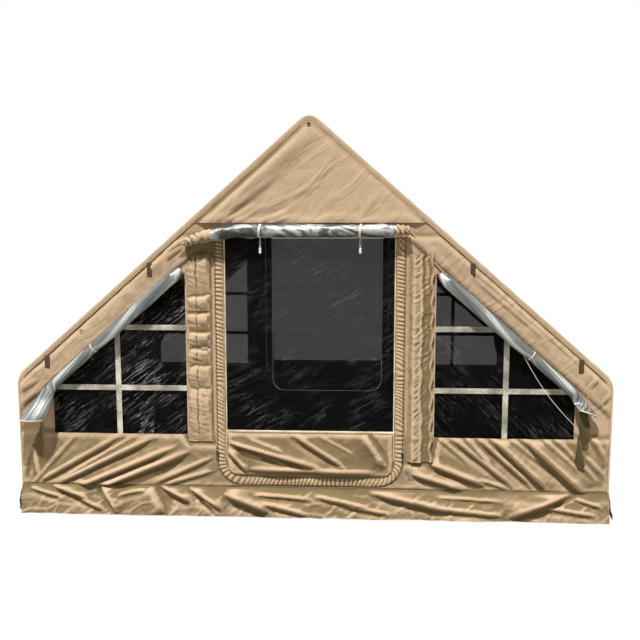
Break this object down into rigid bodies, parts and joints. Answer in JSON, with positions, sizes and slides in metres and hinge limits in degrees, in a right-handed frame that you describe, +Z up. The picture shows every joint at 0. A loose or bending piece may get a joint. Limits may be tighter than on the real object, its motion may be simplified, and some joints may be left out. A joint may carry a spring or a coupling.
{
  "type": "inflatable tent",
  "caption": "Inflatable house tent with an air beam frame, a khaki canopy, a net door and windows at each end, rolled covers, skirts and a groundsheet.",
  "frame": {"origin": "on the ground under the middle of the tent", "axes": "+X across the gable, to the right of someone facing the front door; +Y from the front door to the rear; +Z up"},
  "size_m": [3.1728, 2.2446, 2.0103],
  "materials": {
    "canvas": "woven khaki canopy cloth, coated inside",
    "silver_cloth": "silver-coated back of the canopy cloth",
    "net": "fine black insect net",
    "reflective_tape": "off-white reflective tape",
    "zip_tape": "zip with its cloth tape",
    "slider_metal": "black coated die casting",
    "beam_film": "reinforced air beam film",
    "floor_sheet": "black coated groundsheet",
    "white_plastic": "white moulded plastic",
    "tie_tape": "off-white tie tape",
    "valve_plastic": "black moulded plastic",
    "webbing": "khaki webbing"
  },
  "bodies": {
    "tent": {"eave_beam_left": "beam_film", "eave_beam_right": "beam_film", "front_arch_beam": "beam_film", "front_curtain_roll": "silver_cloth", "front_curtain_tie_left": "tie_tape", "front_curtain_tie_right": "tie_tape", "front_door_zip": "zip_tape", "front_gable_flap": "canvas", "front_guy_tab_lower_left": "webbing", "front_guy_tab_lower_right": "webbing", "front_guy_tab_upper_left": "webbing", "front_guy_tab_upper_right": "webbing", "front_wall": "canvas", "front_window_cover_left": "silver_cloth", "front_window_cover_right": "silver_cloth", "front_window_net_left": "net", "front_window_net_right": "net", "front_window_tape_left": "reflective_tape", "front_window_tape_right": "reflective_tape", "groundsheet": "floor_sheet", "rear_arch_beam": "beam_film", "rear_curtain_roll": "silver_cloth", "rear_curtain_tie_left": "tie_tape", "rear_curtain_tie_right": "tie_tape", "rear_door_zip": "zip_tape", "rear_gable_flap": "canvas", "rear_wall": "canvas", "rear_window_cover_left": "silver_cloth", "rear_window_cover_right": "silver_cloth", "rear_window_net_left": "net", "rear_window_net_right": "net", "rear_window_tape_left": "reflective_tape", "rear_window_tape_right": "reflective_tape", "ridge_beam": "beam_film", "roof_left": "canvas", "roof_right": "canvas", "side_wall_left": "canvas", "side_wall_right": "canvas", "skirt_front": "canvas", "skirt_left": "canvas", "skirt_rear": "canvas", "skirt_right": "canvas", "valve_body": "valve_plastic"},
    "front_door": {"front_door_net": "net", "front_kick_panel": "canvas"},
    "rear_door": {"rear_door_net": "net", "rear_kick_panel": "canvas"},
    "front_storm_flap_left": {"front_storm_flap_left": "canvas"},
    "front_zip_slider_left": {"front_zip_slider_left": "slider_metal"},
    "front_storm_flap_right": {"front_storm_flap_right": "canvas"},
    "front_zip_slider_right": {"front_zip_slider_right": "slider_metal"},
    "rear_storm_flap_left": {"rear_storm_flap_left": "canvas"},
    "rear_zip_slider_left": {"rear_zip_slider_left": "slider_metal"},
    "rear_storm_flap_right": {"rear_storm_flap_right": "canvas"},
    "rear_zip_slider_right": {"rear_zip_slider_right": "slider_metal"},
    "front_toggle_left": {"front_toggle_left": "white_plastic"},
    "front_toggle_right": {"front_toggle_right": "white_plastic"},
    "valve_cap": {"valve_cap": "valve_plastic"},
    "valve_push_pin": {"valve_push_pin": "white_plastic"}
  },
  "joints": [
    {"name": "front_door_swing", "type": "hinge", "parent": "tent", "child": "front_door", "pos_m": [0, -1.048, 1.41996], "axis": [1, 0, 0], "range_deg": [-12, 55]},
    {"name": "rear_door_swing", "type": "hinge", "parent": "tent", "child": "rear_door", "pos_m": [0, 1.048, 1.41996], "axis": [-1, 0, 0], "range_deg": [-12, 55]},
    {"name": "front_storm_flap_left_fold", "type": "hinge", "parent": "tent", "child": "front_storm_flap_left", "pos_m": [-0.4915, -1.0518, 0.8], "axis": [0, 0, 1], "range_deg": [0, 115]},
    {"name": "front_storm_flap_right_fold", "type": "hinge", "parent": "tent", "child": "front_storm_flap_right", "pos_m": [0.4915, -1.0518, 0.8], "axis": [0, 0, -1], "range_deg": [0, 115]},
    {"name": "rear_storm_flap_left_fold", "type": "hinge", "parent": "tent", "child": "rear_storm_flap_left", "pos_m": [-0.4915, 1.0518, 0.8], "axis": [0, 0, -1], "range_deg": [0, 115]},
    {"name": "rear_storm_flap_right_fold", "type": "hinge", "parent": "tent", "child": "rear_storm_flap_right", "pos_m": [0.4915, 1.0518, 0.8], "axis": [0, 0, 1], "range_deg": [0, 115]},
    {"name": "front_zip_left_slide", "type": "slide", "parent": "tent", "child": "front_zip_slider_left", "axis": [0, 0, 1], "range_m": [0, 1.05]},
    {"name": "front_zip_right_slide", "type": "slide", "parent": "tent", "child": "front_zip_slider_right", "axis": [0, 0, 1], "range_m": [0, 1.05]},
    {"name": "rear_zip_left_slide", "type": "slide", "parent": "tent", "child": "rear_zip_slider_left", "axis": [0, 0, 1], "range_m": [0, 1.05]},
    {"name": "rear_zip_right_slide", "type": "slide", "parent": "tent", "child": "rear_zip_slider_right", "axis": [0, 0, 1], "range_m": [0, 1.05]},
    {"name": "front_toggle_left_swing", "type": "hinge", "parent": "tent", "child": "front_toggle_left", "pos_m": [-0.23968, -1.0863, 1.42306], "axis": [1, 0, 0], "range_deg": [-75, 10]},
    {"name": "front_toggle_right_swing", "type": "hinge", "parent": "tent", "child": "front_toggle_right", "pos_m": [0.24995, -1.0863, 1.42306], "axis": [1, 0, 0], "range_deg": [-75, 10]},
    {"name": "valve_cap_hinge", "type": "hinge", "parent": "tent", "child": "valve_cap", "pos_m": [-1.3201, 0.9707, 0.473], "axis": [0, -1, 0], "range_deg": [0, 150]},
    {"name": "valve_pin_push", "type": "slide", "parent": "tent", "child": "valve_push_pin", "axis": [-1, 0, 0], "range_m": [0, 0.005], "stiffness_N_per_m": 400, "springref_m": -0.003}
  ]
}
